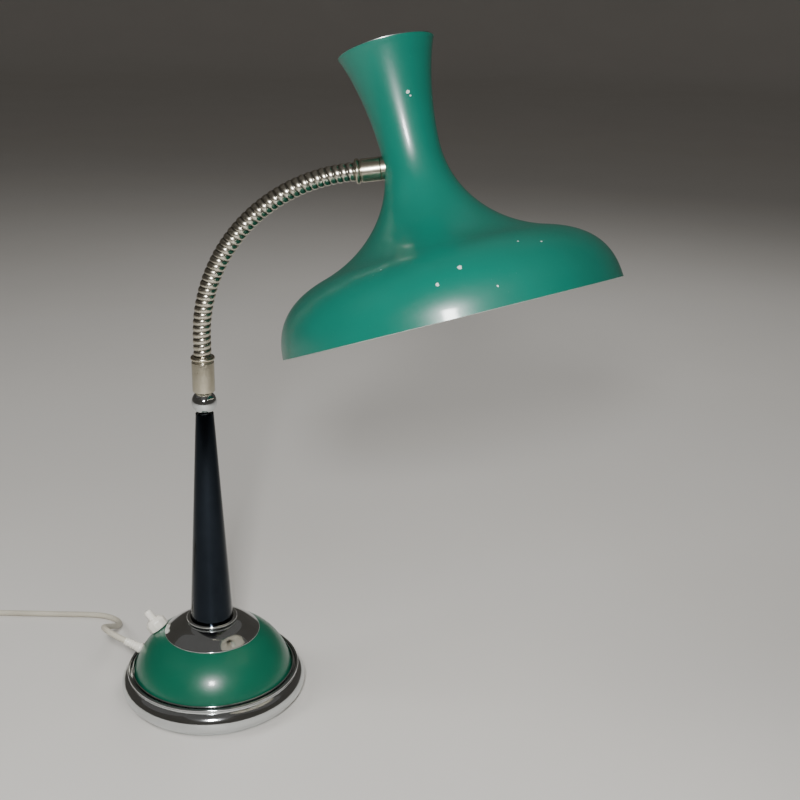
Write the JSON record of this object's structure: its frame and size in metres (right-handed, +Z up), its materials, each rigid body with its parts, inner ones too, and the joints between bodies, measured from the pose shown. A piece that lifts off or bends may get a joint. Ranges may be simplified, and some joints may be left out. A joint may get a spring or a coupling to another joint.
{
  "type": "gooseneck desk lamp",
  "caption": "Desk lamp with a weighted round base, tapered column, bendable ribbed metal gooseneck and a spun hourglass shade open at both ends.",
  "frame": {"origin": "centre of the felt pad's underside, where the lamp stands on the table", "axes": "+Z up; +X from the column towards the shade, in the gooseneck's plane; +Y towards the back of the lamp"},
  "size_m": [0.7016, 0.295, 0.5909],
  "materials": {
    "enamelled_aluminium": "spun aluminium, satin-gloss green stoving enamel outside and white inside, bare metal at both edges",
    "enamelled_steel": "pressed steel with satin-gloss green stoving enamel",
    "chrome": "polished chrome plate with fine wipe marks",
    "nickel": "turned, nickel plated and slightly dulled",
    "nickel_hose": "wound round and triangular steel wires, nickel plated",
    "nickel_brass": "nickel-plated brass",
    "zinc_steel": "zinc-plated steel",
    "cast_iron": "grey cast iron, as cast",
    "brass": "turned and pressed brass",
    "green_felt": "pressed wool felt",
    "black_bakelite": "moulded phenolic, lightly glossy",
    "white_urea": "moulded urea-formaldehyde, glossy off-white",
    "steatite": "pressed steatite, unglazed",
    "opal_glass": "blown glass, coated white inside",
    "cord_pvc": "off-white PVC sheath, matt"
  },
  "bodies": {
    "base": {"felt_pad": "green_felt", "ballast_weight": "cast_iron", "base_rim": "chrome", "base_dome": "enamelled_steel", "trim_ring": "chrome", "dome_cap": "chrome", "column_foot_ring": "chrome", "column": "chrome", "ball_knob": "chrome", "tie_rod": "zinc_steel", "rod_washer": "zinc_steel", "rod_nut": "zinc_steel", "lower_ferrule": "nickel", "lower_bead": "nickel", "gooseneck_01": "nickel_hose", "switch_body": "black_bakelite", "switch_nut": "white_urea", "switch_spring": "zinc_steel", "terminal_block": "steatite", "cord_clamp": "black_bakelite", "cord_tail": "cord_pvc", "switch_lead": "cord_pvc", "base_lead": "cord_pvc", "cord_bush": "white_urea", "mains_cord": "cord_pvc", "cord_coil": "cord_pvc", "plug_cord": "cord_pvc", "plug_body": "white_urea", "plug_pin_1": "nickel_brass", "plug_pin_2": "nickel_brass"},
    "button": {"switch_button": "white_urea"},
    "neck_02": {"gooseneck_02": "nickel_hose"},
    "neck_03": {"gooseneck_03": "nickel_hose"},
    "neck_04": {"gooseneck_04": "nickel_hose"},
    "neck_05": {"gooseneck_05": "nickel_hose"},
    "neck_06": {"gooseneck_06": "nickel_hose"},
    "neck_07": {"gooseneck_07": "nickel_hose"},
    "neck_08": {"gooseneck_08": "nickel_hose"},
    "neck_09": {"gooseneck_09": "nickel_hose"},
    "neck_10": {"gooseneck_10": "nickel_hose"},
    "neck_11": {"gooseneck_11": "nickel_hose"},
    "neck_12": {"gooseneck_12": "nickel_hose"},
    "neck_13": {"gooseneck_13": "nickel_hose"},
    "head": {"gooseneck_14": "nickel_hose", "upper_bead": "nickel", "upper_ferrule": "nickel", "shade_nipple": "brass", "nipple_washer": "zinc_steel", "nipple_nut": "brass"},
    "shade_assembly": {"shade": "enamelled_aluminium", "saddle_collar": "nickel", "holder_bracket": "zinc_steel", "holder_cap": "black_bakelite", "holder_skirt": "black_bakelite", "holder_insert": "steatite", "centre_contact": "brass", "holder_liner": "brass", "holder_lead": "cord_pvc", "bulb_cap": "brass", "bulb_glass": "opal_glass"}
  },
  "joints": [
    {"name": "gooseneck_bend", "type": "hinge", "parent": "base", "child": "neck_02", "pos_m": [0, 0, 0.34103], "axis": [0, 1, 0], "range_deg": [-6.84, 2.08]},
    {"name": "gooseneck_side", "type": "hinge", "parent": "neck_02", "child": "neck_03", "pos_m": [0.00102, 0, 0.35701], "axis": [0.9929, 0, -0.1191], "range_deg": [-5, 5]},
    {"name": "gooseneck_bend_03", "type": "hinge", "parent": "neck_03", "child": "neck_04", "pos_m": [0.00381, 0, 0.37278], "axis": [0, 1, 0], "range_deg": [-12.9, 3.95]},
    {"name": "gooseneck_side_04", "type": "hinge", "parent": "neck_04", "child": "neck_05", "pos_m": [0.00836, 0, 0.38814], "axis": [0.9415, 0, -0.3371], "range_deg": [-5.05, 5.05]},
    {"name": "gooseneck_bend_05", "type": "hinge", "parent": "neck_05", "child": "neck_06", "pos_m": [0.0146, 0, 0.4029], "axis": [0, 1, 0], "range_deg": [-12.9, 3.95]},
    {"name": "gooseneck_side_06", "type": "hinge", "parent": "neck_06", "child": "neck_07", "pos_m": [0.02245, 0, 0.41686], "axis": [0.8428, 0, -0.5382], "range_deg": [-5.05, 5.05]},
    {"name": "gooseneck_bend_07", "type": "hinge", "parent": "neck_07", "child": "neck_08", "pos_m": [0.03181, 0, 0.42985], "axis": [0, 1, 0], "range_deg": [-12.9, 3.95]},
    {"name": "gooseneck_side_08", "type": "hinge", "parent": "neck_08", "child": "neck_09", "pos_m": [0.04258, 0, 0.44172], "axis": [0.7019, 0, -0.7123], "range_deg": [-5.05, 5.05]},
    {"name": "gooseneck_bend_09", "type": "hinge", "parent": "neck_09", "child": "neck_10", "pos_m": [0.0546, 0, 0.4523], "axis": [0, 1, 0], "range_deg": [-12.9, 3.95]},
    {"name": "gooseneck_side_10", "type": "hinge", "parent": "neck_10", "child": "neck_11", "pos_m": [0.06773, 0, 0.46148], "axis": [0.5257, 0, -0.8507], "range_deg": [-5.05, 5.05]},
    {"name": "gooseneck_bend_11", "type": "hinge", "parent": "neck_11", "child": "neck_12", "pos_m": [0.08181, 0, 0.46912], "axis": [0, 1, 0], "range_deg": [-12.9, 3.95]},
    {"name": "gooseneck_side_12", "type": "hinge", "parent": "neck_12", "child": "neck_13", "pos_m": [0.09665, 0, 0.47514], "axis": [0.3232, 0, -0.9463], "range_deg": [-5.05, 5.05]},
    {"name": "gooseneck_bend_13", "type": "hinge", "parent": "neck_13", "child": "head", "pos_m": [0.11208, 0, 0.47946], "axis": [0, 1, 0], "range_deg": [-10.9, 3.35]},
    {"name": "shade_swivel", "type": "hinge", "parent": "head", "child": "shade_assembly", "pos_m": [0.17541, 0, 0.48879], "axis": [0.9903, 0, 0.1392], "range_deg": [-45, 60]},
    {"name": "switch_press", "type": "slide", "parent": "base", "child": "button", "axis": [0.5908, -0.1148, -0.7986], "range_m": [0, 0.003], "stiffness_N_per_m": 400, "springref_m": -0.002, "deforming": ["switch_spring"]}
  ],
  "couplings": [
    {"joint": "gooseneck_bend_03", "follows": "gooseneck_bend", "ratio": 1.8796},
    {"joint": "gooseneck_bend_05", "follows": "gooseneck_bend", "ratio": 1.8796},
    {"joint": "gooseneck_bend_07", "follows": "gooseneck_bend", "ratio": 1.8796},
    {"joint": "gooseneck_bend_09", "follows": "gooseneck_bend", "ratio": 1.8796},
    {"joint": "gooseneck_bend_11", "follows": "gooseneck_bend", "ratio": 1.8796},
    {"joint": "gooseneck_bend_13", "follows": "gooseneck_bend", "ratio": 1.5864},
    {"joint": "gooseneck_side_04", "follows": "gooseneck_side", "ratio": 1},
    {"joint": "gooseneck_side_06", "follows": "gooseneck_side", "ratio": 1},
    {"joint": "gooseneck_side_08", "follows": "gooseneck_side", "ratio": 1},
    {"joint": "gooseneck_side_10", "follows": "gooseneck_side", "ratio": 1},
    {"joint": "gooseneck_side_12", "follows": "gooseneck_side", "ratio": 1}
  ]
}
